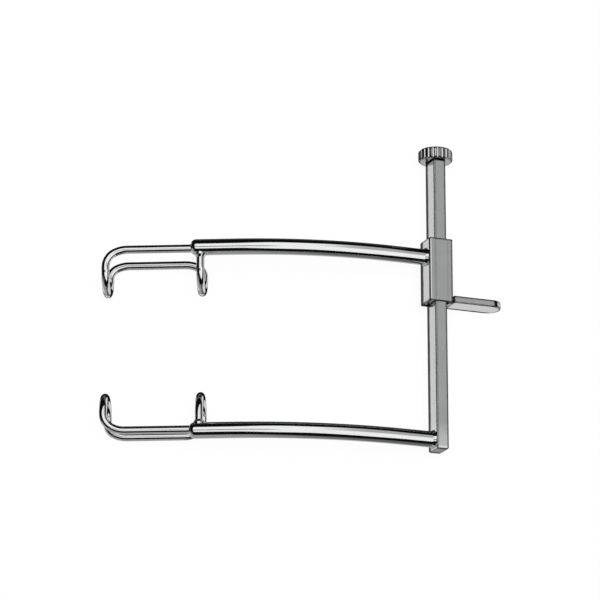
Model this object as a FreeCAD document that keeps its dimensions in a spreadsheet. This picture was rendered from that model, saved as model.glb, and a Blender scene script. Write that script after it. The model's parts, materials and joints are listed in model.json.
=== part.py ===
import FreeCAD, Part
import os
import Sketcher

# Self-retaining wire lid speculum: a channel-shaped rail with a screw inside it, a sleeve that
# slides on the rail, and two arched arms that each carry a bent wire blade.
#
# Each piece is drawn in a frame of its own and then laid into the part's frame:
#   X to the right, from the blades to the rail; Y along the rail, towards the knob; Z up.
# The instrument lies on a table on the two blades and on the tip of its release tongue, so the
# rail leans by lean_angle about Y.  In the rail's own frame +X is away from the blades, +Z is the
# front of the rail, and the screw's axis is the Y axis.
# Lengths are in millimetres.

# Driving dimensions
SIZES = {
    # Rail: a bar with a channel in its right side for the screw
    "rail_width": 1.9,
    "rail_depth": 3.3,
    "rail_length": 44.9,
    "rail_edge_radius": 0.15,
    "rail_end_radius": 0.3,
    "rail_end_wall": 0.5,
    "channel_clearance": 0.07,
    # Screw, its two plain ends and the bushes that hold them
    "screw_diameter": 1.2,
    "neck_diameter": 0.8,
    "pivot_diameter": 0.7,
    "pivot_length": 1.2,
    "end_bush_length": 1.6,
    "neck_bush_length": 1.6,
    "running_clearance": 0.02,
    "end_play": 0.03,
    "braze_film": 0.01,
    # Knob
    "knob_diameter": 5.15,
    "knob_thickness": 1.75,
    "knob_gap": 0.06,
    "knob_socket_depth": 1.25,
    "knob_top_bevel": 0.25,
    "knob_bottom_bevel": 0.22,
    "knob_groove_radius": 0.24,
    "knob_groove_depth": 0.17,
    "knob_ridges": 24,
    # Slider: the sleeve round the rail
    "slide_clearance": 0.05,
    "slider_front_wall": 0.2,
    "slider_side_wall": 0.9,
    "slider_length": 9.8,
    "slider_height": 22.6,
    "slider_edge_radius": 0.3,
    "slider_end_round": 0.1,
    # Window in the slider's right wall, between two cheeks that hold the lever's pin
    "cheek_thickness": 0.65,
    "window_clearance": 0.05,
    "window_headroom": 0.3,
    # Release lever, its pin and the half nut it carries
    "pin_diameter": 0.5,
    "pin_height": 0.62,
    "pin_cover": 0.35,
    "pin_clearance": 0.03,
    "swing_clearance": 0.03,
    "upright_thickness": 0.6,
    "upright_height": 6.2,
    "tongue_thickness": 1.05,
    "tongue_reach": 8.3,
    "tongue_gap": 0.08,
    "tongue_edge_round": 0.12,
    "nut_length": 2.2,
    "nut_setback": 0.2,
    "nut_bite": 0.2,
    "nut_side_clearance": 0.08,
    "thread_clearance": 0.03,
    # Torsion spring of square wire on the lever's pin
    "spring_wire": 0.12,
    "spring_pitch": 0.15,
    "spring_turns": 3.25,
    "spring_leg": 0.7,
    "spring_foot": 0.5,
    "spring_hand": 0.56,
    "spring_hole_clearance": 0.02,
    # Arms: a straight root, a long arch and a straight end that takes the blade's wire
    "arm_diameter": 2.4,
    "arm_root_run": 4.87,
    "arch_radius": 58.7,
    "arch_angle": 24.8,
    "arm_end_run": 6.34,
    "arm_end_round": 0.85,
    "braze_width": 0.25,
    "braze_height": 0.4,
    "lower_arm_margin": 0.48,
    "upper_arm_margin": 1.49,
    # Wire blades
    "wire_diameter": 1.2,
    "wire_socket_depth": 2.0,
    "blade_reach": 12.65,
    "blade_span": 14.11,
    "blade_inset": 0.17,
    "blade_bend": 2.6,
    "bend_entry_radius": 4.0,
    "bend_entry_angle": 27,
    "blade_gap": 6.3,
    "blade_back_inset": 0.61,
}

# Places and half sizes that follow from the driving dimensions
PLACES = {
    "rail_side": "rail_width / 2",
    "rail_front": "rail_depth / 2",
    "screw_radius": "screw_diameter / 2",
    "neck_radius": "neck_diameter / 2",
    "pivot_radius": "pivot_diameter / 2",
    "channel_half": "screw_radius + channel_clearance",
    "neck_bush_bottom": "rail_length - neck_bush_length",
    "end_bush_top": "rail_end_wall + end_bush_length",
    "neck_bore": "neck_radius + running_clearance",
    "pivot_bore": "pivot_radius + running_clearance",
    "pivot_bore_depth": "pivot_length + end_play",
    "screw_bottom": "end_bush_top + end_play",
    "screw_top": "neck_bush_bottom - end_play",
    "pivot_bottom": "end_bush_top - pivot_length",
    "channel_depth": "rail_side + channel_half",
    "channel_length": "rail_length - rail_end_wall",
    "knob_bottom": "rail_length + knob_gap",
    "knob_top": "knob_bottom + knob_thickness",
    "knob_radius": "knob_diameter / 2",
    "neck_top": "knob_bottom + knob_socket_depth",
    "knob_bore": "neck_radius + braze_film",
    "knob_groove_centre": "knob_radius - knob_groove_depth + knob_groove_radius",
    "bore_side": "rail_side + slide_clearance",
    "bore_front": "rail_front + slide_clearance",
    "slider_side": "bore_side + slider_side_wall",
    "slider_front": "bore_front + slider_front_wall",
    "slider_top": "slider_height + slider_length",
    "window_half": "slider_front - cheek_thickness",
    "upright_top": "slider_height + upright_height",
    "window_top": "upright_top + window_headroom",
    "window_bottom": "slider_height - tongue_thickness",
    "pin_radius": "pin_diameter / 2",
    "pin_bore": "pin_radius + pin_clearance",
    "pin_across": "bore_side + slider_side_wall / 2",
    "pin_level": "slider_height + pin_height",
    "pin_length": "2 * slider_front - pin_cover",
    "pin_seat": "pin_radius + braze_film",
    "knuckle_radius": "slider_side_wall / 2 - swing_clearance",
    "spring_half": "spring_wire / 2",
    "spring_coil": "pin_bore + spring_half",
    "spring_outer": "pin_bore + spring_wire",
    "spring_stack": "spring_pitch * spring_turns",
    "spring_under": "spring_stack - spring_half",
    "spring_over": "spring_stack + spring_half",
    "spring_tip": "spring_leg + spring_wire",
    "spring_base": "window_half - window_clearance - spring_half",
    "lever_back": "spring_base - spring_stack - spring_half - window_clearance",
    "lever_front": "window_half - window_clearance",
    "lever_width": "lever_back + lever_front",
    "upright_inner": "bore_side + window_clearance",
    "upright_outer": "upright_inner + upright_thickness",
    "tongue_root": "slider_side + tongue_gap",
    "tongue_centre": "slider_side + tongue_reach - slider_front",
    "tongue_top": "slider_height + tongue_thickness",
    "nut_top": "upright_top - nut_setback",
    "nut_bottom": "nut_top - nut_length",
    "nut_inner": "screw_radius - nut_bite",
    "nut_half": "channel_half - nut_side_clearance",
    "nut_width": "2 * nut_half",
    "nut_bore": "screw_radius + thread_clearance",
    "spring_hole": "spring_half * sqrt(2) + spring_hole_clearance",
    "spring_hole_level": "pin_level - spring_coil",
    "spring_foot_length": "window_clearance + spring_half + spring_foot",
    "spring_hole_depth": "spring_foot + spring_hole_clearance",
    "arm_radius": "arm_diameter / 2",
    "braze_radius": "arm_radius + braze_width",
    "wire_radius": "wire_diameter / 2",
    "lower_arm_level": "arm_radius + lower_arm_margin",
    "upper_arm_level": "slider_top - arm_radius - upper_arm_margin",
    "arm_seat": "arm_radius + braze_film",
    "wire_seat": "wire_radius + braze_film",
    "lower_braze_end": "rail_side + braze_height",
    "upper_braze_end": "slider_side + braze_height",
    "arch_start": "rail_side + arm_root_run",
    "arch_end": "arch_start + arch_radius * sin(arch_angle)",
    "arch_drop": "arch_radius * (1 - cos(arch_angle))",
    "arm_end": "arch_end + arm_end_run * cos(arch_angle)",
    "arm_end_drop": "arch_drop + arm_end_run * sin(arch_angle)",
    "back_wire": "blade_inset + blade_back_inset",
    "hook_radius": "blade_gap / 2",
    "hook_centre": "blade_inset + blade_bend",
    "near_hook": "blade_span - blade_reach",
    "foot_radius": "wire_radius + braze_width",
    "foot_top": "arm_radius + braze_height",
    # Each bend of the wire is a wide entry arc that runs into a tighter one
    "entry_run": "bend_entry_radius * sin(bend_entry_angle)",
    "entry_rise": "bend_entry_radius * (1 - cos(bend_entry_angle))",
    "front_tight": "(hook_centre - blade_inset - entry_rise) / cos(bend_entry_angle)",
    "front_tight_centre": "blade_reach - front_tight",
    "front_entry": "front_tight_centre + front_tight * sin(bend_entry_angle)",
    "front_turn": "front_entry - entry_run",
    "front_entry_level": "blade_inset + entry_rise",
    "front_entry_centre": "blade_inset + bend_entry_radius",
    "back_tight": "(hook_centre - back_wire - entry_rise) / cos(bend_entry_angle)",
    "back_entry_level": "back_wire + entry_rise",
    "back_entry_centre": "back_wire + bend_entry_radius",
    "far_tight_centre": "blade_reach - back_tight",
    "far_entry": "far_tight_centre + back_tight * sin(bend_entry_angle)",
    "far_turn": "far_entry - entry_run",
    "near_tight_centre": "near_hook - back_tight",
    "near_entry": "near_tight_centre + back_tight * sin(bend_entry_angle)",
    "near_turn": "near_entry - entry_run",
    # How the whole instrument leans on the table: the line that touches the tongue's round tip
    # and the far back corner of the blades, both from below
    "rest_across": "tongue_centre + arm_end + blade_reach * cos(arch_angle) - blade_gap * sin(arch_angle)",
    "rest_drop": "arm_end_drop + blade_reach * sin(arch_angle) + blade_gap * cos(arch_angle)",
    "rest_length": "sqrt(rest_across ^ 2 + rest_drop ^ 2)",
    "lean_angle": "atan(rest_drop / rest_across) - asin((slider_front - wire_radius) / rest_length)",
    "blade_angle": "lean_angle - arch_angle * 1 deg",
    # The part's origin is the middle of the instrument's footprint
    "screw_height": "slider_front + tongue_centre * sin(lean_angle)",
    "right_end": "tongue_centre * cos(lean_angle) + slider_front",
    "far_corner": "arm_end + blade_reach * cos(arch_angle)",
    "far_corner_drop": "arm_end_drop + blade_reach * sin(arch_angle)",
    "left_end": "far_corner * cos(lean_angle) + far_corner_drop * sin(lean_angle) + wire_radius",
    "middle_across": "(right_end - left_end) / 2",
    "middle_along": "knob_top / 2",
}

document = FreeCAD.newDocument("lid_speculum")
sheet = document.addObject("Spreadsheet::Sheet", "Sizes")
row = 0
for name, value in SIZES.items():
    row += 1
    sheet.set(f"A{row}", name)
    sheet.set(f"B{row}", str(value))
    sheet.setAlias(f"B{row}", name)
for name, formula in PLACES.items():
    row += 1
    sheet.set(f"A{row}", name)
    sheet.set(f"B{row}", "=" + formula)
    sheet.setAlias(f"B{row}", name)
document.recompute()


def size(name):
    """The number behind a name of the sheet, with an optional minus sign; 0 stays 0."""
    if name == "0":
        return 0.0
    sign = -1.0 if name.startswith("-") else 1.0
    return sign * float(sheet.get(name.lstrip("-")))


def cell(name):
    """The expression for a name of the sheet, with its sign kept."""
    if name.startswith("-"):
        return "-Sizes." + name[1:]
    return "Sizes." + name


def flipped(name):
    """The same size on the other side of the axis."""
    if name == "0":
        return name
    return name[1:] if name.startswith("-") else "-" + name


def new_body(name, across="0", along="0", front="0", angle="Sizes.lean_angle"):
    """A piece whose own origin lies at a place of the rail's frame, turned about Y by an angle."""
    body = document.addObject("PartDesign::Body", name)
    body.Label = name
    turn_x = f"({across}) * cos(Sizes.lean_angle) + ({front}) * sin(Sizes.lean_angle)"
    turn_z = f"({front}) * cos(Sizes.lean_angle) - ({across}) * sin(Sizes.lean_angle)"
    x = f"{turn_x} - Sizes.middle_across"
    y = f"{along} - Sizes.middle_along"
    z = f"{turn_z} + Sizes.screw_height"
    place = f"placement(vector({x}; {y}; {z}); rotation(vector(0; 1; 0); {angle}))"
    body.setExpression("Placement", place)
    return body


def new_sketch(body, name, plane, level="0"):
    """A sketch on one of the body's origin planes, moved to a level along that plane's axis."""
    sketch = body.newObject("Sketcher::SketchObject", name)
    for feature in body.Origin.OriginFeatures:
        if feature.Role == plane + "_Plane":
            sketch.AttachmentSupport = [(feature, "")]
    sketch.MapMode = "FlatFace"
    # the XZ plane faces -Y, the other two face along their axis
    offset = flipped(level) if plane == "XZ" else level
    if level != "0":
        sketch.setExpression("AttachmentOffset.Base.z", cell(offset))
    return sketch


def pin_point(sketch, geometry, point, x, y):
    """Holds a point of the sketch at two named coordinates; None leaves one free."""
    for kind, name in (("DistanceX", x), ("DistanceY", y)):
        if name is None:
            continue
        index = sketch.addConstraint(Sketcher.Constraint(kind, geometry, point, size(name)))
        if name != "0":
            sketch.setExpression(f"Constraints[{index}]", cell(name))


def add_circle(sketch, x, y, radius):
    """A circle with a named centre and radius."""
    centre = FreeCAD.Vector(size(x), size(y), 0)
    circle = Part.Circle(centre, FreeCAD.Vector(0, 0, 1), size(radius))
    index = sketch.addGeometry(circle, False)
    pin_point(sketch, index, 3, x, y)
    limit = sketch.addConstraint(Sketcher.Constraint("Radius", index, size(radius)))
    sketch.setExpression(f"Constraints[{limit}]", cell(radius))


def add_outline(sketch, points):
    """A closed outline through named points."""
    corners = [FreeCAD.Vector(size(x), size(y), 0) for x, y in points]
    count = len(points)
    for i in range(count):
        sketch.addGeometry(Part.LineSegment(corners[i], corners[(i + 1) % count]), False)
    for i in range(count):
        sketch.addConstraint(Sketcher.Constraint("Coincident", i, 2, (i + 1) % count, 1))
    for i, (x, y) in enumerate(points):
        pin_point(sketch, i, 1, x, y)


def add_rectangle(sketch, left, right, low, high):
    """A rectangle between four named coordinates."""
    add_outline(sketch, [(left, low), (right, low), (right, high), (left, high)])


def add_trail(sketch, start, steps):
    """An open path of straight runs and arcs.

    A step is ("line", x, y) or ("arc", centre x, centre y, x, y, turn), where turn is 1 for
    counter-clockwise and -1 for clockwise.
    """
    at = FreeCAD.Vector(size(start[0]), size(start[1]), 0)
    last = None
    for step in steps:
        x, y = (step[1], step[2]) if step[0] == "line" else (step[3], step[4])
        to = FreeCAD.Vector(size(x), size(y), 0)
        if step[0] == "line":
            index = sketch.addGeometry(Part.LineSegment(at, to), False)
            first, end = 1, 2
            held = (x, y)
        else:
            centre = FreeCAD.Vector(size(step[1]), size(step[2]), 0)
            circle = Part.Circle(centre, FreeCAD.Vector(0, 0, 1), (at - centre).Length)
            turn = step[5]
            one, two = (at, to) if turn > 0 else (to, at)
            arc = Part.ArcOfCircle(circle, circle.parameter(one), circle.parameter(two))
            index = sketch.addGeometry(arc, False)
            first, end = (1, 2) if turn > 0 else (2, 1)
            pin_point(sketch, index, 3, step[1], step[2])
            reach = to - centre
            # the end is already on the circle, so its better coordinate alone is held
            held = (x, None) if abs(reach.y) > abs(reach.x) else (None, y)
        if last is None:
            pin_point(sketch, index, first, start[0], start[1])
        else:
            sketch.addConstraint(Sketcher.Constraint("Coincident", last[0], last[1], index, first))
        pin_point(sketch, index, end, held[0], held[1])
        last = (index, end)
        at = to
    return len(steps)


def add_pad(body, name, sketch, length, reverse=False, midplane=False):
    """Material from the sketch over a named length."""
    pad = body.newObject("PartDesign::Pad", name)
    pad.Profile = sketch
    pad.setExpression("Length", cell(length))
    pad.Reversed = reverse
    pad.Midplane = midplane
    document.recompute()
    return pad


def add_pocket(body, name, sketch, length, reverse=False):
    """A cut from the sketch over a named length; it has to remove something."""
    before = body.Tip.Shape.Volume
    pocket = body.newObject("PartDesign::Pocket", name)
    pocket.Profile = sketch
    pocket.setExpression("Length", cell(length))
    pocket.Reversed = reverse
    document.recompute()
    if not pocket.Shape.Volume < before - 1e-6:
        raise RuntimeError(f"{body.Label}: {name} cuts nothing")
    return pocket


def add_turning(body, name, sketch, axis):
    """A full revolution of the sketch about one of its own axes."""
    turning = body.newObject("PartDesign::Revolution", name)
    turning.Profile = sketch
    turning.ReferenceAxis = (sketch, [axis])
    turning.Angle = 360
    document.recompute()
    return turning


def add_pipe(body, name, section, trail, count):
    """A round section swept along a path of a few edges."""
    pipe = body.newObject("PartDesign::AdditivePipe", name)
    pipe.Profile = section
    pipe.Spine = (trail, [f"Edge{i + 1}" for i in range(count)])
    document.recompute()
    return pipe


def edges_of(body, name, chosen):
    """The body's last feature and those of its edges that the test picks; there has to be one."""
    base = body.Tip
    edges = [f"Edge{i + 1}" for i, edge in enumerate(base.Shape.Edges) if chosen(edge)]
    if not edges:
        raise RuntimeError(f"{body.Label}: {name} finds no edge")
    return base, edges


def add_fillet(body, name, radius, chosen):
    """Rounds every edge of the body's last feature that the test picks."""
    picked = edges_of(body, name, chosen)
    fillet = body.newObject("PartDesign::Fillet", name)
    fillet.Base = picked
    fillet.setExpression("Radius", cell(radius))
    document.recompute()
    return fillet


def add_bevel(body, name, width, chosen):
    """Bevels every edge of the body's last feature that the test picks."""
    picked = edges_of(body, name, chosen)
    bevel = body.newObject("PartDesign::Chamfer", name)
    bevel.Base = picked
    bevel.setExpression("Size", cell(width))
    document.recompute()
    return bevel


def runs_along_y(edge):
    """True for a straight edge along the rail."""
    box = edge.BoundBox
    return box.YLength > 1e-3 and box.XLength < 1e-6 and box.ZLength < 1e-6


def lies_at_y(edge, *names):
    """True for an edge that lies wholly at one of the named levels."""
    box = edge.BoundBox
    return any(box.YLength < 1e-6 and abs(box.YMin - size(name)) < 1e-6 for name in names)


def make_rail():
    body = new_body("rail")
    bar = new_sketch(body, "rail_section", "XZ")
    add_rectangle(bar, "-rail_side", "rail_side", "-rail_front", "rail_front")
    add_pad(body, "rail_bar", bar, "rail_length", reverse=True)
    add_fillet(body, "rail_edges", "rail_edge_radius", runs_along_y)
    add_fillet(body, "rail_end", "rail_end_radius", lambda edge: lies_at_y(edge, "0"))
    channel = new_sketch(body, "channel_outline", "YZ", "rail_side")
    add_rectangle(channel, "rail_end_wall", "rail_length", "-channel_half", "channel_half")
    add_pocket(body, "channel", channel, "channel_depth")
    return body


def make_bush(name, bottom, length, bore, bore_level, bore_depth):
    """A block that closes the channel and carries one end of the screw."""
    body = new_body(name)
    block = new_sketch(body, name + "_section", "XZ", bottom)
    add_rectangle(block, "-channel_half", "rail_side", "-channel_half", "channel_half")
    add_pad(body, name + "_block", block, length, reverse=True)
    hole = new_sketch(body, name + "_hole", "XZ", bore_level)
    add_circle(hole, "0", "0", bore)
    add_pocket(body, name + "_bore", hole, bore_depth, reverse=True)
    return body


def make_spindle():
    body = new_body("spindle")
    profile = new_sketch(body, "spindle_profile", "XY")
    add_outline(profile, [
        ("0", "pivot_bottom"),
        ("pivot_radius", "pivot_bottom"),
        ("pivot_radius", "screw_bottom"),
        ("screw_radius", "screw_bottom"),
        ("screw_radius", "screw_top"),
        ("neck_radius", "screw_top"),
        ("neck_radius", "neck_top"),
        ("0", "neck_top"),
    ])
    add_turning(body, "spindle_turning", profile, "V_Axis")
    return body


def make_knob():
    body = new_body("knob")
    disc = new_sketch(body, "knob_outline", "XZ", "knob_bottom")
    add_circle(disc, "0", "0", "knob_radius")
    add_pad(body, "knob_disc", disc, "knob_thickness", reverse=True)
    add_bevel(body, "knob_top_edge", "knob_top_bevel", lambda edge: lies_at_y(edge, "knob_top"))
    add_bevel(body, "knob_bottom_edge", "knob_bottom_bevel", lambda edge: lies_at_y(edge, "knob_bottom"))
    socket = new_sketch(body, "knob_socket_outline", "XZ", "knob_bottom")
    add_circle(socket, "0", "0", "knob_bore")
    add_pocket(body, "knob_socket", socket, "knob_socket_depth")
    groove = new_sketch(body, "knob_groove_outline", "XZ", "knob_bottom")
    add_circle(groove, "knob_groove_centre", "0", "knob_groove_radius")
    cut = add_pocket(body, "knob_groove", groove, "knob_thickness")
    ring = body.newObject("PartDesign::PolarPattern", "knob_grooves")
    ring.Originals = [cut]
    ring.Axis = (disc, ["N_Axis"])
    ring.Angle = 360
    ring.setExpression("Occurrences", cell("knob_ridges"))
    body.Tip = ring
    document.recompute()
    return body


def make_slider():
    body = new_body("slider")
    outside = new_sketch(body, "slider_section", "XZ", "slider_height")
    add_rectangle(outside, "-slider_side", "slider_side", "-slider_front", "slider_front")
    add_pad(body, "slider_bar", outside, "slider_length", reverse=True)
    add_fillet(body, "slider_edges", "slider_edge_radius", runs_along_y)
    add_fillet(body, "slider_ends", "slider_end_round",
               lambda edge: lies_at_y(edge, "slider_height", "slider_top"))
    bore = new_sketch(body, "slider_bore_section", "XZ", "slider_height")
    add_rectangle(bore, "-bore_side", "bore_side", "-bore_front", "bore_front")
    add_pocket(body, "slider_bore", bore, "slider_length")
    window = new_sketch(body, "window_outline", "YZ", "slider_side")
    add_rectangle(window, "window_bottom", "window_top", "-window_half", "window_half")
    add_pocket(body, "window", window, "slider_side_wall")
    pin = new_sketch(body, "pin_hole_outline", "XY", "-slider_front")
    add_circle(pin, "pin_across", "pin_level", "pin_seat")
    add_pocket(body, "pin_hole", pin, "pin_length", reverse=True)
    anchor = new_sketch(body, "spring_hole_outline", "XY", "-window_half")
    add_circle(anchor, "pin_across", "spring_hole_level", "spring_hole")
    add_pocket(body, "spring_anchor", anchor, "spring_hole_depth")
    return body


def make_lever():
    body = new_body("release_lever")
    tongue = new_sketch(body, "tongue_outline", "XZ", "slider_height")
    add_rectangle(tongue, "tongue_root", "tongue_centre", "-slider_front", "slider_front")
    add_pad(body, "tongue", tongue, "tongue_thickness", reverse=True)
    tip = new_sketch(body, "tongue_tip_outline", "XZ", "slider_height")
    add_circle(tip, "tongue_centre", "0", "slider_front")
    add_pad(body, "tongue_tip", tip, "tongue_thickness", reverse=True)
    add_fillet(body, "tongue_edges", "tongue_edge_round",
               lambda edge: lies_at_y(edge, "slider_height", "tongue_top"))
    link = new_sketch(body, "link_outline", "XY", "-lever_back")
    add_rectangle(link, "pin_across", "tongue_root", "slider_height", "tongue_top")
    add_pad(body, "link", link, "lever_width")
    knuckle = new_sketch(body, "knuckle_outline", "XY", "-lever_back")
    add_circle(knuckle, "pin_across", "pin_level", "knuckle_radius")
    add_pad(body, "knuckle", knuckle, "lever_width")
    upright = new_sketch(body, "upright_outline", "XY", "-lever_back")
    add_rectangle(upright, "upright_inner", "upright_outer", "pin_level", "upright_top")
    add_pad(body, "upright", upright, "lever_width")
    bore = new_sketch(body, "lever_bore_outline", "XY", "-lever_back")
    add_circle(bore, "pin_across", "pin_level", "pin_bore")
    add_pocket(body, "lever_bore", bore, "lever_width", reverse=True)
    return body


def make_half_nut():
    body = new_body("half_nut")
    block = new_sketch(body, "nut_outline", "XY", "-nut_half")
    add_rectangle(block, "nut_inner", "upright_inner", "nut_bottom", "nut_top")
    add_pad(body, "nut_block", block, "nut_width")
    seat = new_sketch(body, "nut_seat_outline", "XZ", "nut_bottom")
    add_circle(seat, "0", "0", "nut_bore")
    add_pocket(body, "nut_seat", seat, "nut_length")
    return body


def make_pin():
    body = new_body("lever_pin")
    section = new_sketch(body, "pin_section", "XY", "-slider_front")
    add_circle(section, "pin_across", "pin_level", "pin_radius")
    add_pad(body, "pin", section, "pin_length")
    return body


def make_spring():
    """A torsion spring: foot in the rear cheek, coil round the pin, leg on the lever's upright."""
    body = new_body("lever_spring", "Sizes.pin_across", "Sizes.pin_level", "-Sizes.spring_base")
    section = new_sketch(body, "coil_section", "YZ")
    add_rectangle(section, "-spring_outer", "-pin_bore", "-spring_half", "spring_half")
    coil = body.newObject("PartDesign::AdditiveHelix", "coil")
    coil.Profile = section
    coil.ReferenceAxis = (section, ["V_Axis"])
    coil.Mode = "pitch-turns-angle"
    coil.setExpression("Pitch", cell("spring_pitch"))
    coil.setExpression("Turns", cell("spring_turns"))
    document.recompute()
    foot = new_sketch(body, "foot_section", "XY")
    add_rectangle(foot, "-spring_half", "spring_half", "-spring_outer", "-pin_bore")
    add_pad(body, "foot", foot, "spring_foot_length", reverse=True)
    leg = new_sketch(body, "leg_section", "XZ")
    add_rectangle(leg, "pin_bore", "spring_outer", "spring_under", "spring_over")
    add_pad(body, "leg", leg, "spring_leg", reverse=True)
    hand = new_sketch(body, "hand_section", "XY", "spring_under")
    add_rectangle(hand, "pin_bore", "spring_outer", "spring_leg", "spring_tip")
    add_pad(body, "hand", hand, "spring_hand")
    return body


def make_arm(name, level, root, braze_end, inset):
    """A round rod that leaves its root face squarely, arches over and ends in a drilled socket."""
    body = new_body(name, along="Sizes." + level)
    section = new_sketch(body, name + "_section", "YZ", flipped(root))
    add_circle(section, "0", "0", "arm_radius")
    centreline = new_sketch(body, name + "_centreline", "XZ")
    count = add_trail(centreline, (flipped(root), "0"), [
        ("line", "-arch_start", "0"),
        ("arc", "-arch_start", "-arch_radius", "-arch_end", "-arch_drop", 1),
        ("line", "-arm_end", "-arm_end_drop"),
    ])
    add_pipe(body, name + "_rod", section, centreline, count)
    add_fillet(body, name + "_end", "arm_end_round",
               lambda edge: edge.CenterOfMass.x < -size("arch_end") and edge.Length < 8 * size("arm_radius")
               and edge.Closed)
    socket = new_sketch(body, name + "_socket_outline", "YZ")
    place = "vector(0; -Sizes.arm_end_drop; -Sizes.arm_end)"
    slant = "rotation(vector(1; 0; 0); -Sizes.arch_angle)"
    socket.setExpression("AttachmentOffset", f"placement({place}; {slant})")
    add_circle(socket, inset, "0", "wire_seat")
    add_pocket(body, name + "_socket", socket, "wire_socket_depth", reverse=True)
    collar = new_sketch(body, name + "_braze_profile", "XY")
    add_outline(collar, [
        (flipped(root), "0"),
        (flipped(root), "braze_radius"),
        (flipped(braze_end), "arm_radius"),
        (flipped(braze_end), "0"),
    ])
    add_turning(body, name + "_braze", collar, "H_Axis")
    return body


def make_blade(name, level, upper):
    """One wire bent into two hooks: its ends are brazed into the arm and onto the arm's side.

    The piece's own frame sits in the middle of the arm's end, with -X along the wire.  The
    hooks point to the other arm: +Y on the lower blade and -Y on the upper one.
    """
    body = new_body(name, "-Sizes.arm_end", "Sizes." + level, "-Sizes.arm_end_drop",
                    "Sizes.blade_angle")
    inward = flipped if upper else str
    turn = -1 if upper else 1

    def section_at(label, x, y, z):
        sketch = new_sketch(body, f"{name}_{label}_section", "XZ", inward(y))
        add_circle(sketch, x, z, "wire_radius")
        return sketch

    def pipe_in_xy(label, x, z, start, steps):
        section = section_at(label, x, start[1], z)
        path = new_sketch(body, f"{name}_{label}_path", "XY", z)
        count = add_trail(path, (start[0], inward(start[1])), steps)
        add_pipe(body, f"{name}_{label}", section, path, count)

    def hook(label, x, from_z, to_z, way):
        section = section_at(label, x, "hook_centre", from_z)
        path = new_sketch(body, f"{name}_{label}_path", "YZ", x)
        centre = inward("hook_centre")
        count = add_trail(path, (centre, from_z), [("arc", centre, "-hook_radius", centre, to_z, way)])
        add_pipe(body, f"{name}_{label}", section, path, count)

    # the short leg that stands on the arm's side in a foot of braze
    stub = section_at("near_leg", "near_hook", "0", "0")
    add_pad(body, name + "_near_leg", stub, "hook_centre", reverse=not upper)
    foot = new_sketch(body, name + "_foot_profile", "XY")
    foot.setExpression("AttachmentOffset.Base.x", cell("near_hook"))
    add_outline(foot, [
        ("0", "0"),
        ("foot_radius", "0"),
        ("foot_radius", inward("arm_radius")),
        ("wire_radius", inward("foot_top")),
        ("0", inward("foot_top")),
    ])
    add_turning(body, name + "_foot", foot, "V_Axis")
    saddle = new_sketch(body, name + "_saddle_outline", "YZ")
    add_circle(saddle, "0", "0", "arm_seat")
    add_pocket(body, name + "_saddle", saddle, "arm_end_run", reverse=True)
    hook("near_hook", "near_hook", "0", "-blade_gap", -turn)
    pipe_in_xy("back_run", "near_hook", "-blade_gap", ("near_hook", "hook_centre"), [
        ("arc", "near_tight_centre", inward("hook_centre"), "near_entry", inward("back_entry_level"), -turn),
        ("arc", "near_turn", inward("back_entry_centre"), "near_turn", inward("back_wire"), -turn),
        ("line", "-far_turn", inward("back_wire")),
        ("arc", "-far_turn", inward("back_entry_centre"), "-far_entry", inward("back_entry_level"), -turn),
        ("arc", "-far_tight_centre", inward("hook_centre"), "-blade_reach", inward("hook_centre"), -turn),
    ])
    hook("far_hook", "-blade_reach", "-blade_gap", "0", turn)
    pipe_in_xy("front_run", "-blade_reach", "0", ("-blade_reach", "hook_centre"), [
        ("arc", "-front_tight_centre", inward("hook_centre"), "-front_entry", inward("front_entry_level"), turn),
        ("arc", "-front_turn", inward("front_entry_centre"), "-front_turn", inward("blade_inset"), turn),
        ("line", "wire_socket_depth", inward("blade_inset")),
    ])
    return body


pieces = [
    make_rail(),
    make_bush("end_bush", "rail_end_wall", "end_bush_length", "pivot_bore", "end_bush_top", "pivot_bore_depth"),
    make_bush("neck_bush", "neck_bush_bottom", "neck_bush_length", "neck_bore", "rail_length", "neck_bush_length"),
    make_spindle(),
    make_knob(),
    make_slider(),
    make_lever(),
    make_half_nut(),
    make_pin(),
    make_spring(),
    make_arm("lower_arm", "lower_arm_level", "rail_side", "lower_braze_end", "blade_inset"),
    make_arm("upper_arm", "upper_arm_level", "slider_side", "upper_braze_end", "-blade_inset"),
    make_blade("lower_blade", "lower_arm_level", upper=False),
    make_blade("upper_blade", "upper_arm_level", upper=True),
]
document.recompute()

faults = [item.Label for item in document.Objects if {"Invalid", "Error"} & set(item.State)]
for piece in pieces:
    if piece.Shape.isNull() or not piece.Shape.isValid() or len(piece.Shape.Solids) != 1:
        faults.append(piece.Label)
if faults:
    raise RuntimeError("faulty objects: " + ", ".join(faults))

os.makedirs("parts", exist_ok=True)
for piece in pieces:
    piece.Shape.exportStep(f"parts/{piece.Label}.step")
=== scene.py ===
import json
import math

import bmesh
import bpy
from bpy.props import FloatProperty, FloatVectorProperty, IntProperty, PointerProperty
from mathutils import Matrix, Vector


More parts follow.
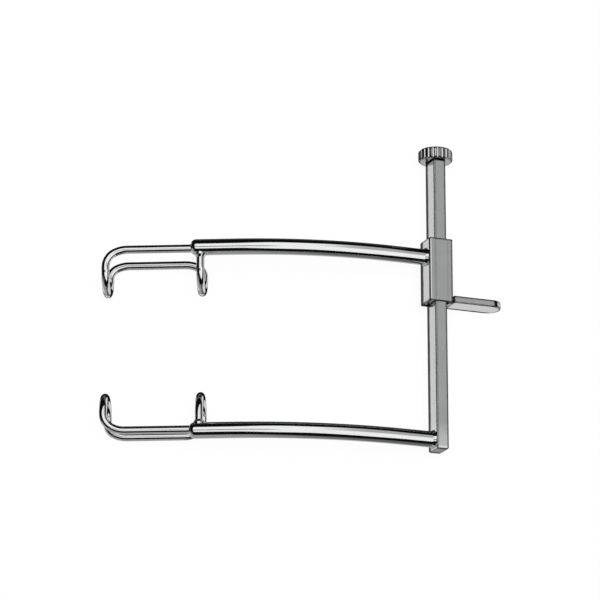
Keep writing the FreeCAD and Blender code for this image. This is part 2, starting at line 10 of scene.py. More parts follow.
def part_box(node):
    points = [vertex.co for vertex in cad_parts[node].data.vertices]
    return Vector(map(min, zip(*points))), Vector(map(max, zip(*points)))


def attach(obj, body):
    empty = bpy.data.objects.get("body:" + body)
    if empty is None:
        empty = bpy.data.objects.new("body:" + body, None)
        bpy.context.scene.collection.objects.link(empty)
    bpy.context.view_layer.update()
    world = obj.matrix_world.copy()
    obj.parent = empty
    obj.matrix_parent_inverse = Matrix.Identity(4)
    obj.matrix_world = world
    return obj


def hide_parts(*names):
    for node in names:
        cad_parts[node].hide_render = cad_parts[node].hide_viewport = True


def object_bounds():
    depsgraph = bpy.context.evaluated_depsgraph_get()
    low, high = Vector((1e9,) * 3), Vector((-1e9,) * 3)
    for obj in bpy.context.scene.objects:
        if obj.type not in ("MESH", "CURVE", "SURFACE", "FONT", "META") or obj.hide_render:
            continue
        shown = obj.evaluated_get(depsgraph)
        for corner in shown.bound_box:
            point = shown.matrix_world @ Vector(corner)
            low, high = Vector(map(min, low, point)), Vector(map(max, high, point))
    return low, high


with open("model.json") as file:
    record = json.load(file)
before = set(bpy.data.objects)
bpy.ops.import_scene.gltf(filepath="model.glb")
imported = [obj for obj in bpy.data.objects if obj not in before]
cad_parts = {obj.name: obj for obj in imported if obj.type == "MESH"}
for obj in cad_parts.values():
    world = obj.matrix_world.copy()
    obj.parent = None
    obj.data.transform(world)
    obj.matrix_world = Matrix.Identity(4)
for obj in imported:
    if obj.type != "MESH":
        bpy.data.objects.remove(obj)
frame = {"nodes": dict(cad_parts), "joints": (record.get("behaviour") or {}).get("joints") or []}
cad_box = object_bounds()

bl_info = {
    "name": "Lid speculum",
    "version": (1, 0, 0),
    "blender": (4, 5, 0),
    "location": "View3D > Sidebar > Speculum",
    "description": "Finishes a wire lid speculum and lays it on a photographer's table",
    "category": "Object",
}

MM = 0.001

# The rail's own directions, read from the joints: the sleeve slides along it, and the lever
# turns about an axis that points out of its back
JOINTS = {joint["name"]: joint for joint in frame["joints"]}
ALONG = Vector(JOINTS["slider_slide"]["axis"])
FRONT = -Vector(JOINTS["lever_press"]["axis"])
ACROSS = ALONG.cross(FRONT)
KNOB_SEAT = Vector(JOINTS["knob_spin"]["pos_m"])
LEAN = math.atan2(FRONT.x, FRONT.z)

# Turns that take the direction of a piece's brush lines to the X axis
LINES_ALONG_RAIL = (0, 0, -math.pi / 2)
LINES_ALONG_LEVER = (0, LEAN, 0)
LINES_ALONG_X = (0, 0, 0)

# Pattern of all the steel: a coarse line is so many times as wide and as long as a fine one.
# The shares are those of the fine lines among all lines, and of all lines beside the patches
COARSE_WIDTH = 4
COARSE_LENGTH = 3
FINE_SHARE = 0.6
LINES_SHARE = 0.7
PATCH_SIZE = 2.5 * MM
# The lustre that goes from smooth to rough, and the lustre at which the colour dulls to a share
LUSTRE_RANGE = (0.3, 0.7)
SMOOTHEST = 0.02
DULL_RANGE = (0.65, 0.35)
DULL_SHARE = 0.93
# The waves in the satin faces
SWELL_WIDTH = 0.5 * MM
SWELL_LENGTH = 12 * MM
SWELL_DEPTH = 0.02 * MM

# Dark edges, where shade is painted into the colour: how far in an edge is rolled off, and the dot
# product of the rolled and the true normal from which the face is clear again
SHARP_EDGE = (0.5 * MM, 0.998)
SLEEVE_EDGE = (0.5 * MM, 0.99)
RIDGE_EDGE = (0.22 * MM, 0.99)
# The fall of that dot product down to a dark edge, the share of the roughness that the edge
# loses, and the share of the colour that is left where shade is painted on the steel
EDGE_FADE = 0.03
EDGE_POLISH = 0.8
PAINTED_SHADE_SHARE = 0.08

# Painted shade in strips along the back corners: their widths, then the size of the patches that make
# their limit uneven, how uneven and how soft it is in shares of the width, and how dark the strips are
RAIL_BACK = 0.95 * MM
SLEEVE_BACK = 1.25 * MM
LEVER_BACK = 0.6 * MM
BACK_PATCH = 1.5 * MM
BACK_UNEVEN = 0.3
BACK_FADE = 0.15
BACK_PAINTED_SHADE = 0.8

# Painted shade on the lower ends: height, the share of it that is dark throughout, and how dark they
# are
END_HEIGHT = 0.25 * MM
END_SOLID = 0.25
LOWER_END_PAINTED_SHADE = 0.5
KNOB_END_PAINTED_SHADE = 0.4

# A painted highlight, the lighter stretch above the rail's lower end: its height and its share of the
# colour
RAIL_PAINTED_HIGHLIGHT = (4.5 * MM, 1.35)

# The screw, along its axis from the knob's underside, with its pivot below and its neck above
SCREW_RADIUS = 0.6 * MM
PIVOT_RADIUS = 0.35 * MM
NECK_RADIUS = 0.4 * MM
PIVOT_LENGTH = 1.23 * MM
NECK_START = -1.69 * MM
PIVOT_CHAMFER = 0.06 * MM
SCREW_CHAMFER = 0.08 * MM
RINGS_PER_TURN = 8
# The thread's section on half a pitch, from the middle of its root at 0 to that of its crest at 1
CREST_START = 0.9
FLANK_WIDTH = 0.75
SCREW_SHARP = math.radians(75)

# The room's lights, by the x, y and z of a mirrored direction. A pair gives where a light starts
# and where it is full. Four numbers give two places and the values there.
# Softboxes: z of their lower edge by x, its softness, and their end on the left
BOX_EDGE_RIGHT = (0.15, 0.5, 0.7, 0.5)
BOX_EDGE_LEFT = (0.05, -0.15, 0.0, 0.11)
BOX_FADE = (-0.03, 0.03)
BOX_END_X = (-0.6, -0.45)
# The far right softbox and the light that is left of it
FAR_RIGHT_X = (0.15, 0.5)
FAR_RIGHT_Y = (0.0, 0.22)
FAR_RIGHT_DIM = (0.0, 1.0, 1.0, 0.45)
# The camera's gap: its middle, its reach in y to both sides, and the light that is left in it
LENS_Y = -0.13
GAP_Y = (0.13, 0.05)
GAP_X = (0.08, -0.02)
GAP_DIM = (0.0, 1.0, 1.0, 0.15)
# Front card: z of its upper edge by x, its softness, the light of its dim part by x, its start
# in y, and the foot where it is fully bright
FRONT_EDGE = (0.2, -0.1, -0.1, 0.12)
FRONT_FADE = (0.05, -0.05)
FRONT_DIM = (0.2, -0.1, 0.17, 0.45)
FRONT_Y = (-0.1, -0.25)
FRONT_Z = (-0.84, -0.93)
# Left card, right card and walls
LEFT_X = (-0.42, -0.55)
LEFT_Z = (-0.5, -0.65)
RIGHT_X = (0.45, 0.6)
RIGHT_Z = (0.0, -0.2)
BEHIND_Y = (0.8, 0.93)
BEHIND_Z = (-0.2, -0.35)
BESIDE_X = (-0.5, -0.65)
BESIDE_Y = (-0.45, -0.6)

LAMP_HEIGHT = 0.7
LAMP_FORWARD = 0.1


# Settings

class SteelFinish(bpy.types.PropertyGroup):
    """Colours, roughness and brush lines of the steel."""

    polished_colour: FloatVectorProperty(
        name="Polished steel", description="Reflection of the arms and wires",
        subtype="COLOR", size=4, min=0, max=1, default=(0.78, 0.785, 0.79, 1))
    satin_colour: FloatVectorProperty(
        name="Satin steel", description="Reflection of the rail, the sleeve and the lever",
        subtype="COLOR", size=4, min=0, max=1, default=(0.66, 0.665, 0.67, 1))
    knob_colour: FloatVectorProperty(
        name="Knob steel", description="Reflection of the thumb knob",
        subtype="COLOR", size=4, min=0, max=1, default=(0.84, 0.84, 0.845, 1))
    machined_colour: FloatVectorProperty(
        name="Machined steel", description="Reflection of the screw, bushes, half nut and pin",
        subtype="COLOR", size=4, min=0, max=1, default=(0.62, 0.62, 0.62, 1))
    spring_colour: FloatVectorProperty(
        name="Spring steel", description="Reflection of the drawn spring wire",
        subtype="COLOR", size=4, min=0, max=1, default=(0.55, 0.55, 0.56, 1))
    polished_roughness: FloatProperty(
        name="Polish", description="Roughness of the polished steel", min=0, max=1, default=0.09)
    satin_roughness: FloatProperty(
        name="Satin", description="Roughness of the satin steel", min=0, max=1, default=0.16)
    grain_width: FloatProperty(
        name="Grain width", description="Width of one brush line",
        unit="LENGTH", default=0.05 * MM)
    grain_length: FloatProperty(
        name="Grain length", description="Length of one brush line",
        unit="LENGTH", default=1.6 * MM)


class ScrewThread(bpy.types.PropertyGroup):
    """The screw's right-hand thread."""

    pitch: FloatProperty(
        name="Pitch", description="Travel of the sleeve for one turn",
        unit="LENGTH", default=0.25 * MM)
    depth: FloatProperty(
        name="Depth", description="From the thread's crest to its root",
        unit="LENGTH", default=0.14 * MM)
    plain_end: FloatProperty(
        name="Plain end", description="Length without thread at each end",
        unit="LENGTH", default=0.3 * MM)
    segments: IntProperty(
        name="Segments", description="Points round the screw", min=12, default=32)


class StudioTable(bpy.types.PropertyGroup):
    """Table, light and camera."""

    table_size: FloatProperty(
        name="Table", description="Width of the table top", unit="LENGTH", default=1.2)
    table_colour: FloatVectorProperty(
        name="Table colour", description="Colour of the table top",
        subtype="COLOR", size=4, min=0, max=1, default=(0.95, 0.95, 0.95, 1))
    bleach: FloatProperty(
        name="Bleach",
        description="How far the table is white to the camera; the rest keeps the shadow",
        min=0, max=1, default=0.94)
    bright: FloatProperty(
        name="Softboxes", description="Brightness of the softboxes", min=0, default=1.1)
    dark: FloatProperty(
        name="Room", description="Brightness of the room behind them", min=0, default=0.004)
    front_card: FloatProperty(
        name="Front card", description="Brightness of the low card in front", min=0, default=0.9)
    left_card: FloatProperty(
        name="Left card", description="Brightness of the low card at the blades' side",
        min=0, default=0.9)
    right_card: FloatProperty(
        name="Right card", description="Brightness of the low card at the lever's side",
        min=0, default=0.8)
    walls: FloatProperty(
        name="Walls", description="Brightness of the walls behind and beside the table",
        min=0, default=0.12)
    tilt: FloatProperty(
        name="Camera tilt", description="Camera above the object, tipped towards its lower end",
        unit="ROTATION", default=math.radians(16.736))
    pan: FloatProperty(
        name="Camera pan", description="Turn of the camera from the rail's front",
        unit="ROTATION", default=math.radians(21.27))
    distance: FloatProperty(
        name="Camera distance", description="Camera to the point it aims at",
        unit="LENGTH", default=509.2 * MM)
    aim_across: FloatProperty(
        name="Aim across", description="Aimed point from the knob's seat, towards the blades",
        unit="LENGTH", default=20.452 * MM)
    aim_along: FloatProperty(
        name="Aim along", description="Aimed point from the knob's seat, down the rail",
        unit="LENGTH", default=21.702 * MM)
    focal_length: FloatProperty(
        name="Focal length", description="Focal length in millimetres on a 36 mm wide frame",
        default=204.7)


# Shader nodes

def add_node(tree, kind, inputs=None, **settings):
    """A node with its settings and inputs; an input is a plain value or another node's output."""
    made = tree.nodes.new(kind)
    for name, value in settings.items():
        setattr(made, name, value)
    for name, value in (inputs or {}).items():
        if isinstance(value, bpy.types.NodeSocket):
            tree.links.new(value, made.inputs[name])
        else:
            made.inputs[name].default_value = value
    return made


def math_node(tree, operation, first, second=0.0):
    """The output of one sum on two values."""
    return add_node(tree, "ShaderNodeMath", {0: first, 1: second}, operation=operation).outputs[0]


def product(tree, first, second):
    """Two values multiplied."""
    return math_node(tree, "MULTIPLY", first, second)


def mixed(tree, first, second, share):
    """A share of the first value and the rest of the second."""
    return math_node(tree, "ADD", product(tree, first, share), product(tree, second, 1 - share))


def between(tree, value, low, high, to_low=0.0, to_high=1.0, smooth=True):
    """The value carried from one range to another, held at its ends."""
    kind = "SMOOTHSTEP" if smooth else "LINEAR"
    made = add_node(tree, "ShaderNodeMapRange", {
        "Value": value, "From Min": low, "From Max": high, "To Min": to_low, "To Max": to_high,
    }, interpolation_type=kind)
    return made.outputs["Result"]


def new_material(name):
    """An empty node material and its tree."""
    material = bpy.data.materials.new(name)
    material.use_nodes = True
    material.node_tree.nodes.clear()
    return material, material.node_tree


def lines(tree, width, length, turn, detail=2.0):
    """Fine lines of a brush or a polishing wheel; turn takes their direction to the X axis."""
    place = add_node(tree, "ShaderNodeTexCoord").outputs["Object"]
    turned = add_node(tree, "ShaderNodeVectorRotate", {
        "Vector": place, "Rotation": turn,
    }, rotation_type="EULER_XYZ")
    stretched = add_node(tree, "ShaderNodeMapping", {
        "Vector": turned.outputs["Vector"], "Scale": (1 / length, 1 / width, 1 / width),
    })
    made = add_node(tree, "ShaderNodeTexNoise", {
        "Vector": stretched.outputs["Vector"], "Scale": 1.0, "Detail": detail, "Roughness": 0.6,
    })
    return made.outputs["Fac"]


def cloud(tree, size):
    """A soft uneven pattern with spots of about one size."""
    place = add_node(tree, "ShaderNodeTexCoord").outputs["Object"]
    made = add_node(tree, "ShaderNodeTexNoise", {
        "Vector": place, "Scale": 1 / size, "Detail": 2.0, "Roughness": 0.5,
    })
    return made.outputs["Fac"]


def place_along(tree, direction):
    """How far a point of the surface lies along a direction, from the frame's origin."""
    place = add_node(tree, "ShaderNodeTexCoord").outputs["Object"]
    made = add_node(tree, "ShaderNodeVectorMath", {
        0: place, 1: tuple(direction),
    }, operation="DOT_PRODUCT")
    return made.outputs["Value"]


def rounded_edges(tree, reach, clear):
    """The normal with its edges rolled off, and a value from 1 on an edge to 0 on a clear face."""
    rounded = add_node(tree, "ShaderNodeBevel", {"Radius": reach}, samples=8).outputs["Normal"]
    true = add_node(tree, "ShaderNodeNewGeometry").outputs["Normal"]
    same = add_node(tree, "ShaderNodeVectorMath", {0: rounded, 1: true}, operation="DOT_PRODUCT")
    return rounded, between(tree, same.outputs["Value"], clear, clear - EDGE_FADE)


def toned(tree, shade, colour, share, factor):
    """The shade carried towards a share of the colour, as far as the factor says."""
    target = tuple(min(channel * share, 1.0) for channel in colour[:3]) + (1,)
    made = add_node(tree, "ShaderNodeMix", {
        "Factor": factor, "A": shade, "B": target,
    }, data_type="RGBA")
    return made.outputs["Result"]


def lower_end(tree, end, height):
    """1 at a piece's lower end and 0 at a height above it; the end is a place along the rail."""
    above_end = math_node(tree, "SUBTRACT", place_along(tree, ALONG), end)
    return between(tree, above_end, height, height * END_SOLID)


def painted_back_shade(tree, reach, width):
    """Painted shade: high on a strip along the back corners, at a reach behind the screw's axis, else
    0.
    """
    back = KNOB_SEAT.dot(FRONT) - reach
    from_back = math_node(tree, "SUBTRACT", place_along(tree, FRONT), back)
    ripple = math_node(tree, "SUBTRACT", cloud(tree, BACK_PATCH), 0.5)
    uneven = product(tree, ripple, width * BACK_UNEVEN)
    limit = (width * (1 + BACK_FADE), width * (1 - BACK_FADE))
    return between(tree, math_node(tree, "ADD", from_back, uneven), *limit, 0.0, BACK_PAINTED_SHADE)


def steel(name, colour, roughness, line_size, line_depth, turn=LINES_ALONG_X, spread=0.06,
          edge=None, wave=0.0, back=None, end=None, painted_highlight=None):
    """Solid steel with brush or polish lines and uneven lustre, and where asked with more.

    edge: rolled, smoother edges with painted shade, as reach and clear of rounded_edges
    wave: depth of the waves in the faces
    back: painted shade along the back corners, as reach and width of painted_back_shade; shown only
    with edge
    end: painted shade on the lower end, as its place along the rail and how dark it is; shown only
    with edge
    painted_highlight: painted lighter stretch above that end, as its height and its share of the
    colour
    """
    material, tree = new_material(name)
    width, length = line_size
    fine = lines(tree, width, length, turn)
    coarse = lines(tree, width * COARSE_WIDTH, length * COARSE_LENGTH, turn, detail=1.0)
    both = mixed(tree, fine, coarse, FINE_SHARE)
    lustre = mixed(tree, both, cloud(tree, PATCH_SIZE), LINES_SHARE)
    rough_range = (max(roughness - spread, SMOOTHEST), roughness + spread)
    rough = between(tree, lustre, *LUSTRE_RANGE, *rough_range, smooth=False)
    shade = toned(tree, colour, colour, DULL_SHARE, between(tree, lustre, *DULL_RANGE))
    # painted highlight: the colour lighter on a stretch above the lower end
    if painted_highlight is not None:
        height, share = painted_highlight
        shade = toned(tree, shade, colour, share, lower_end(tree, end[0], height))
    # painted shade: along the back corners here, and on the lower end below
    dark = 0.0 if back is None else painted_back_shade(tree, *back)
    if end is not None:
        place, depth = end
        end_painted_shade = product(tree, lower_end(tree, place, END_HEIGHT), depth)
        dark = math_node(tree, "MAXIMUM", end_painted_shade, dark)
    relief = {"Strength": 0.35, "Distance": line_depth, "Height": both}
    if edge:
        relief["Normal"], edge_polish_and_shade = rounded_edges(tree, *edge)
        rough = math_node(tree, "SUBTRACT", rough, product(tree, edge_polish_and_shade, roughness * EDGE_POLISH))
        dark = math_node(tree, "MAXIMUM", edge_polish_and_shade, dark)
        # painted shade: the colour darkens on the edges, and where asked on the back corners and the
        # lower end
        shade = toned(tree, shade, colour, PAINTED_SHADE_SHARE, dark)
    if wave:
        broad = lines(tree, SWELL_WIDTH, SWELL_LENGTH, turn, detail=1.0)
        swell = {"Strength": 1.0, "Distance": wave, "Height": broad}
        if edge:
            swell["Normal"] = relief["Normal"]
        relief["Normal"] = add_node(tree, "ShaderNodeBump", swell).outputs["Normal"]
    bump = add_node(tree, "ShaderNodeBump", relief)
    surface = add_node(tree, "ShaderNodeBsdfPrincipled", {
        "Base Color": shade, "Metallic": 1.0, "Roughness": rough, "Normal": bump.outputs["Normal"],
    })
    if edge:
        # painted shade, in the specular tint too: without this a dark edge would still be bright where
        # it is seen at a grazing angle
        tree.links.new(math_node(tree, "SUBTRACT", 1.0, dark), surface.inputs["Specular Tint"])
    add_node(tree, "ShaderNodeOutputMaterial", {"Surface": surface.outputs["BSDF"]})
    return material


def dress(node, material):
    """Puts a finish on every slot of a CAD node."""
    for slot in frame["nodes"][node].material_slots:
        slot.link = "OBJECT"
        slot.material = material


def back_reach(node):
    """How far a node reaches behind the screw's axis, against the rail's front direction."""
    shape = frame["nodes"][node]
    ahead = [(shape.matrix_world @ vertex.co - KNOB_SEAT).dot(FRONT) for vertex in shape.data.vertices]
    return -min(ahead)


def satin_steel(context, name, turn=LINES_ALONG_RAIL, edge=SHARP_EDGE, back=None, end=None, painted_highlight=None):
    """Brushed steel with painted shade on its edges and slightly wavy faces."""
    finish = context.scene.speculum_finish
    grain = (finish.grain_width, finish.grain_length)
    return steel(name, tuple(finish.satin_colour), finish.satin_roughness, grain,
                 line_depth=0.002 * MM, turn=turn, edge=edge, wave=SWELL_DEPTH,
                 back=back, end=end, painted_highlight=painted_highlight)


def polished_steel(context, name):
    """Mirror-bright steel with faint polishing lines."""
    finish = context.scene.speculum_finish
    return steel(name, tuple(finish.polished_colour), finish.polished_roughness,
                 line_size=(0.04 * MM, 1.2 * MM), line_depth=0.0006 * MM, spread=0.04)


def machined_steel(context, name):
    """Turned or milled steel, a little darker and rougher."""
    finish = context.scene.speculum_finish
    return steel(name, tuple(finish.machined_colour), roughness=0.28,
                 line_size=(0.03 * MM, 0.5 * MM), line_depth=0.002 * MM, turn=LINES_ALONG_RAIL)


# Meshes

def new_piece(context, name, mesh, material, body):
    """An object that shows a mesh, wears a finish and rides on a body."""
    piece = bpy.data.objects.new(name, mesh)
    context.scene.collection.objects.link(piece)
    mesh.materials.append(material)
    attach(piece, body)
    return piece


def loft(rings):
    """A closed mesh through rings of points that follow one another."""
    mesh = bmesh.new()
    rows = [[mesh.verts.new(point) for point in ring] for ring in rings]
    count = len(rows[0])
    for low, high in zip(rows, rows[1:]):
        for i in range(count):
            j = (i + 1) % count
            mesh.faces.new((low[i], low[j], high[j], high[i]))
    mesh.faces.new(list(reversed(rows[0])))
    mesh.faces.new(rows[-1])
    bmesh.ops.recalc_face_normals(mesh, faces=mesh.faces)
    return mesh


def finished(mesh, name, sharp):
    """A mesh datablock with smooth shading and sharp edges above an angle."""
    data = bpy.data.meshes.new(name)
    mesh.to_mesh(data)
    mesh.free()
    data.shade_smooth()
    data.set_sharp_from_angle(angle=sharp)
    return data


def ring_point(radius, angle, along):
    """A point round the screw's axis, at a place along it from the knob's underside."""
    across = radius * math.sin(angle)
    front = radius * math.cos(angle)
    return KNOB_SEAT + across * ACROSS + along * ALONG + front * FRONT


class SPECULUM_OT_rail(bpy.types.Operator):
    """Satin rail and the two bushes in its channel"""

    bl_idname = "speculum.rail"
    bl_label = "Rail"

    def execute(self, context):
        # the rail's colour carries painted shade on its edges, back corners and lower end, and a
        # painted highlight above that end
        dress("rail", satin_steel(
            context, "rail_satin", back=(back_reach("rail"), RAIL_BACK),
            end=(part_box("rail")[0].y, LOWER_END_PAINTED_SHADE), painted_highlight=RAIL_PAINTED_HIGHLIGHT))
        bush = machined_steel(context, "bush_steel")
        dress("end_bush", bush)
        dress("neck_bush", bush)
        return {"FINISHED"}


class SPECULUM_OT_screw(bpy.types.Operator):
    """Screw with its thread, plain pivot and neck"""

    bl_idname = "speculum.screw"
    bl_label = "Screw"

    def execute(self, context):
        thread = context.scene.speculum_thread
        low, high = (corner.y - KNOB_SEAT.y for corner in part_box("spindle"))
        pivot_end = low + PIVOT_LENGTH
        rings = []

        def add_ring(along, shape):
            angles = [2 * math.pi * i / thread.segments for i in range(thread.segments)]
            rings.append([ring_point(shape(angle), angle, along) for angle in angles])

        def groove(along):
            fade = min(along - pivot_end, NECK_START - along) - thread.plain_end
            share = max(0.0, min(1.0, fade / thread.pitch))

            def shape(angle):
                phase = (along / thread.pitch - angle / (2 * math.pi)) % 1
                from_root = abs(phase - 0.5) * 2
                cut = max(0.0, min(1.0, (CREST_START - from_root) / FLANK_WIDTH))
                return SCREW_RADIUS - share * thread.depth * cut
            return shape

        add_ring(low, lambda angle: PIVOT_RADIUS - PIVOT_CHAMFER)
        add_ring(low + PIVOT_CHAMFER, lambda angle: PIVOT_RADIUS)
        add_ring(pivot_end, lambda angle: PIVOT_RADIUS)
        add_ring(pivot_end, lambda angle: SCREW_RADIUS - SCREW_CHAMFER)
        steps = round((NECK_START - pivot_end) / thread.pitch * RINGS_PER_TURN)
        for i in range(1, steps):
            along = pivot_end + (NECK_START - pivot_end) * i / steps
            add_ring(along, groove(along))
        add_ring(NECK_START, lambda angle: SCREW_RADIUS - SCREW_CHAMFER)
        add_ring(NECK_START, lambda angle: NECK_RADIUS)
        add_ring(high, lambda angle: NECK_RADIUS)
        mesh = finished(loft(rings), "threaded_screw", SCREW_SHARP)
        material = machined_steel(context, "screw_steel")
        piece = new_piece(context, "threaded_screw", mesh, material, "screw")
        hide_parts("spindle")
        return {"FINISHED"}


class SPECULUM_OT_knob(bpy.types.Operator):
    """Ridged thumb knob"""

    bl_idname = "speculum.knob"
    bl_label = "Knob"

    def execute(self, context):
        finish = context.scene.speculum_finish
        # the knob's colour carries painted shade on its ridges' edges and on its underside
        dress("knob", steel(
            "knob_steel", tuple(finish.knob_colour), roughness=0.07,
            line_size=(0.03 * MM, 0.6 * MM), line_depth=0.001 * MM, turn=LINES_ALONG_RAIL,
            spread=0.03, edge=RIDGE_EDGE, end=(KNOB_SEAT.dot(ALONG), KNOB_END_PAINTED_SHADE)))
        return {"FINISHED"}


class SPECULUM_OT_sleeve(bpy.types.Operator):
    """Satin sleeve on the rail, with the lever's pin and spring"""

    bl_idname = "speculum.sleeve"
    bl_label = "Sleeve"

    def execute(self, context):
        finish = context.scene.speculum_finish
        # the sleeve's colour carries painted shade on its edges, back corners and lower end
        dress("slider", satin_steel(
            context, "sleeve_satin", edge=SLEEVE_EDGE, back=(back_reach("slider"), SLEEVE_BACK),
            end=(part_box("slider")[0].y, LOWER_END_PAINTED_SHADE)))
        dress("lever_pin", machined_steel(context, "pin_steel"))
        dress("lever_spring", steel(
            "spring_steel", tuple(finish.spring_colour), roughness=0.25,
            line_size=(0.02 * MM, 0.4 * MM), line_depth=0.001 * MM))
        return {"FINISHED"}


class SPECULUM_OT_lever(bpy.types.Operator):
    """Release lever with its half nut"""

    bl_idname = "speculum.lever"
    bl_label = "Release lever"

    def execute(self, context):
        # the lever's colour carries painted shade on its edges and back corners
        dress("release_lever", satin_steel(
            context, "lever_satin", turn=LINES_ALONG_LEVER,
            back=(back_reach("release_lever"), LEVER_BACK)))
        dress("half_nut", machined_steel(context, "nut_steel"))
        return {"FINISHED"}


class SPECULUM_OT_arms(bpy.types.Operator):
    """Polished arched arms"""

    bl_idname = "speculum.arms"
    bl_label = "Arms"

    def execute(self, context):
        polished = polished_steel(context, "arm_polish")
        dress("lower_arm", polished)
        dress("upper_arm", polished)
        return {"FINISHED"}


class SPECULUM_OT_blades(bpy.types.Operator):
    """Polished blade wires"""

    bl_idname = "speculum.blades"
    bl_label = "Blades"

    def execute(self, context):
        polished = polished_steel(context, "wire_polish")
        dress("lower_blade", polished)
        dress("upper_blade", polished)
        return {"FINISHED"}


class SPECULUM_OT_studio(bpy.types.Operator):
    """White table, softboxes in a dark room, and the camera"""

    bl_idname = "speculum.studio"
    bl_label = "Studio"

    def execute(self, context):
        studio = context.scene.speculum_studio
        self.build_table(context, studio)
        self.build_room(context, studio)
        self.build_lamp(context)
        self.build_camera(context, studio)
        context.scene.view_settings.view_transform = "Standard"
        return {"FINISHED"}

    def build_table(self, context, studio):
        """The table top, nearly white to the camera, so that only a faint shadow is left on it."""
        mesh = bmesh.new()
        bmesh.ops.create_grid(mesh, x_segments=1, y_segments=1, size=studio.table_size / 2)
        data = bpy.data.meshes.new("table_top")
        mesh.to_mesh(data)
        mesh.free()
        table = bpy.data.objects.new("table_top", data)
        table.location.z = cad_box[0].z
        context.scene.collection.objects.link(table)
        material, tree = new_material("table_white")
        shaded = add_node(tree, "ShaderNodeBsdfDiffuse", {"Color": tuple(studio.table_colour)})
        white = add_node(tree, "ShaderNodeEmission", {"Color": (1, 1, 1, 1), "Strength": 1.0})
        seen = add_node(tree, "ShaderNodeLightPath").outputs["Is Camera Ray"]
        blend = add_node(tree, "ShaderNodeMixShader", {
            0: product(tree, seen, studio.bleach), 1: shaded.outputs[0], 2: white.outputs[0],
        })
        add_node(tree, "ShaderNodeOutputMaterial", {"Surface": blend.outputs[0]})
        data.materials.append(material)
        table.visible_glossy = False

    def build_room(self, context, studio):
        """What the steel mirrors: softboxes above, white cards below, and a dark room."""
        world = bpy.data.worlds.new("studio_room")
        context.scene.world = world
        world.use_nodes = True
        tree = world.node_tree
        tree.nodes.clear()
        heading = add_node(tree, "ShaderNodeTexCoord").outputs["Generated"]
        split = add_node(tree, "ShaderNodeSeparateXYZ", {"Vector": heading})
        x, y, z = (split.outputs[name] for name in "XYZ")
        light = product(tree, self.softboxes(tree, x, y, z), studio.bright)
        cards = (
            (self.front_card(tree, x, y, z), studio.front_card),
            (product(tree, between(tree, x, *LEFT_X), between(tree, z, *LEFT_Z)), studio.left_card),
            (product(tree, between(tree, x, *RIGHT_X), between(tree, z, *RIGHT_Z)), studio.right_card),
            (self.walls(tree, x, y, z), studio.walls),
        )
        for card, brightness in cards:
            light = math_node(tree, "MAXIMUM", light, product(tree, card, brightness))
        light = math_node(tree, "MAXIMUM", light, studio.dark)
        room = add_node(tree, "ShaderNodeBackground", {"Color": (1, 1, 1, 1), "Strength": light})
        white = add_node(tree, "ShaderNodeBackground", {"Color": (1, 1, 1, 1), "Strength": 1.0})
        seen = add_node(tree, "ShaderNodeLightPath").outputs["Is Camera Ray"]
        blend = add_node(tree, "ShaderNodeMixShader", {
            0: seen, 1: room.outputs[0], 2: white.outputs[0],
        })
        add_node(tree, "ShaderNodeOutputWorld", {"Surface": blend.outputs[0]})

    def softboxes(self, tree, x, y, z):
        """1 on the softboxes; they reach lower on the right, less low on the left, and end there."""
        edge_right = between(tree, x, *BOX_EDGE_RIGHT)
        edge = math_node(tree, "ADD", edge_right, between(tree, x, *BOX_EDGE_LEFT))
        above = between(tree, math_node(tree, "SUBTRACT", z, edge), *BOX_FADE)
        far_right = product(tree, between(tree, x, *FAR_RIGHT_X), between(tree, y, *FAR_RIGHT_Y))
        boxes = product(tree, above, between(tree, x, *BOX_END_X))
        boxes = product(tree, boxes, between(tree, far_right, *FAR_RIGHT_DIM))
        # the camera stands in a gap between them
        from_lens = math_node(tree, "ABSOLUTE", math_node(tree, "SUBTRACT", y, LENS_Y))
        gap = product(tree, between(tree, from_lens, *GAP_Y), between(tree, x, *GAP_X))
        return product(tree, boxes, between(tree, gap, *GAP_DIM))

    def front_card(self, tree, x, y, z):
        """The card in front: higher and brighter on the left, and fully bright only at its foot."""
        edge = between(tree, x, *FRONT_EDGE)
        below = between(tree, math_node(tree, "SUBTRACT", z, edge), *FRONT_FADE)
        dim_part = between(tree, x, *FRONT_DIM)
        front_side = product(tree, between(tree, y, *FRONT_Y), below)
        return product(tree, front_side, between(tree, z, *FRONT_Z, dim_part, 1.0))

    def walls(self, tree, x, y, z):
        """The walls, which give back a little light low down behind and at the front left."""
        behind = product(tree, between(tree, y, *BEHIND_Y), between(tree, z, *BEHIND_Z))
        beside = product(tree, between(tree, x, *BESIDE_X), between(tree, y, *BESIDE_Y))
        return math_node(tree, "MAXIMUM", behind, beside)

    def build_lamp(self, context):
        """A large overhead lamp for the table's soft shadow."""
        lamp = bpy.data.lights.new("overhead_lamp", "AREA")
        lamp.shape = "DISK"
        lamp.size = 0.5
        lamp.energy = 4.0
        overhead = bpy.data.objects.new("overhead_lamp", lamp)
        overhead.location = (0.0, -LAMP_FORWARD, LAMP_HEIGHT)
        overhead.rotation_euler = (math.atan2(-LAMP_FORWARD, LAMP_HEIGHT), 0, 0)
        overhead.visible_glossy = False
        context.scene.collection.objects.link(overhead)

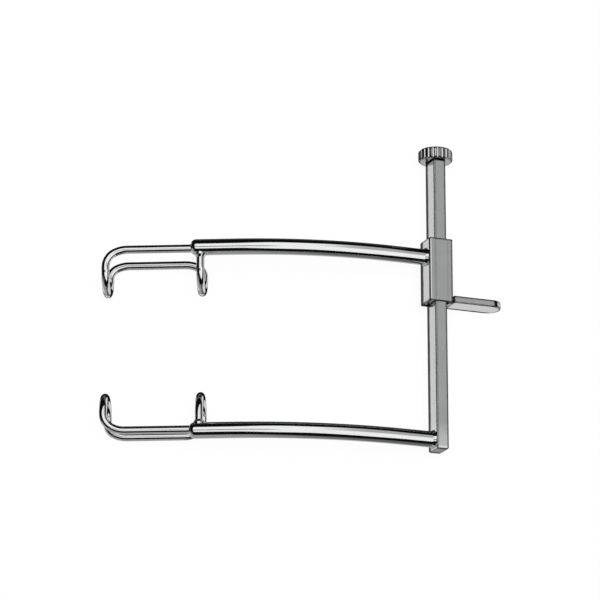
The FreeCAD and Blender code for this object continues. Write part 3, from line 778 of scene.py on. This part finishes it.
    def build_camera(self, context, studio):
        """The camera at the photograph's angle, from the knob's seat and the rail's lean."""
        turn = Matrix.Rotation(LEAN - studio.pan, 3, "Y")
        aim = KNOB_SEAT + turn @ Vector((-studio.aim_across, -studio.aim_along, 0))
        back = turn @ Vector((0, -math.sin(studio.tilt), math.cos(studio.tilt)))
        up = turn @ Vector((0, math.cos(studio.tilt), math.sin(studio.tilt)))
        side = up.cross(back)
        lens = bpy.data.cameras.new("studio_camera")
        lens.lens = studio.focal_length
        lens.clip_start = 0.01
        camera = bpy.data.objects.new("studio_camera", lens)
        facing = Matrix((side, up, back)).transposed().to_4x4()
        camera.matrix_world = Matrix.Translation(aim + studio.distance * back) @ facing
        context.scene.collection.objects.link(camera)
        context.scene.camera = camera


class SPECULUM_PT_panel(bpy.types.Panel):
    """Everything the speculum's scene is made of"""

    bl_idname = "SPECULUM_PT_panel"
    bl_label = "Lid speculum"
    bl_space_type = "VIEW_3D"
    bl_region_type = "UI"
    bl_category = "Speculum"

    def draw(self, context):
        for group, title in SETTINGS:
            box = self.layout.box()
            box.label(text=title)
            settings = getattr(context.scene, group)
            for name in settings.bl_rna.properties.keys():
                if name not in ("rna_type", "name"):
                    box.prop(settings, name)
        for operator in OPERATORS:
            self.layout.operator(operator.bl_idname)


GROUPS = {
    "speculum_finish": SteelFinish,
    "speculum_thread": ScrewThread,
    "speculum_studio": StudioTable,
}
SETTINGS = (
    ("speculum_finish", "Steel"),
    ("speculum_thread", "Screw thread"),
    ("speculum_studio", "Studio"),
)
OPERATORS = (
    SPECULUM_OT_rail,
    SPECULUM_OT_screw,
    SPECULUM_OT_knob,
    SPECULUM_OT_sleeve,
    SPECULUM_OT_lever,
    SPECULUM_OT_arms,
    SPECULUM_OT_blades,
    SPECULUM_OT_studio,
)


def register():
    """Registers the settings, the operators and the panel."""
    for group in GROUPS.values():
        bpy.utils.register_class(group)
    for name, group in GROUPS.items():
        setattr(bpy.types.Scene, name, PointerProperty(type=group))
    for operator in OPERATORS:
        bpy.utils.register_class(operator)
    bpy.utils.register_class(SPECULUM_PT_panel)


def unregister():
    """Takes everything back out, in reverse order."""
    bpy.utils.unregister_class(SPECULUM_PT_panel)
    for operator in reversed(OPERATORS):
        bpy.utils.unregister_class(operator)
    for name in GROUPS:
        delattr(bpy.types.Scene, name)
    for group in reversed(GROUPS.values()):
        bpy.utils.unregister_class(group)


def main():
    """Builds the scene, one operator after another."""
    register()
    for operator in OPERATORS:
        section, name = operator.bl_idname.split(".")
        getattr(getattr(bpy.ops, section), name)()


if __name__ == "__main__":
    main()
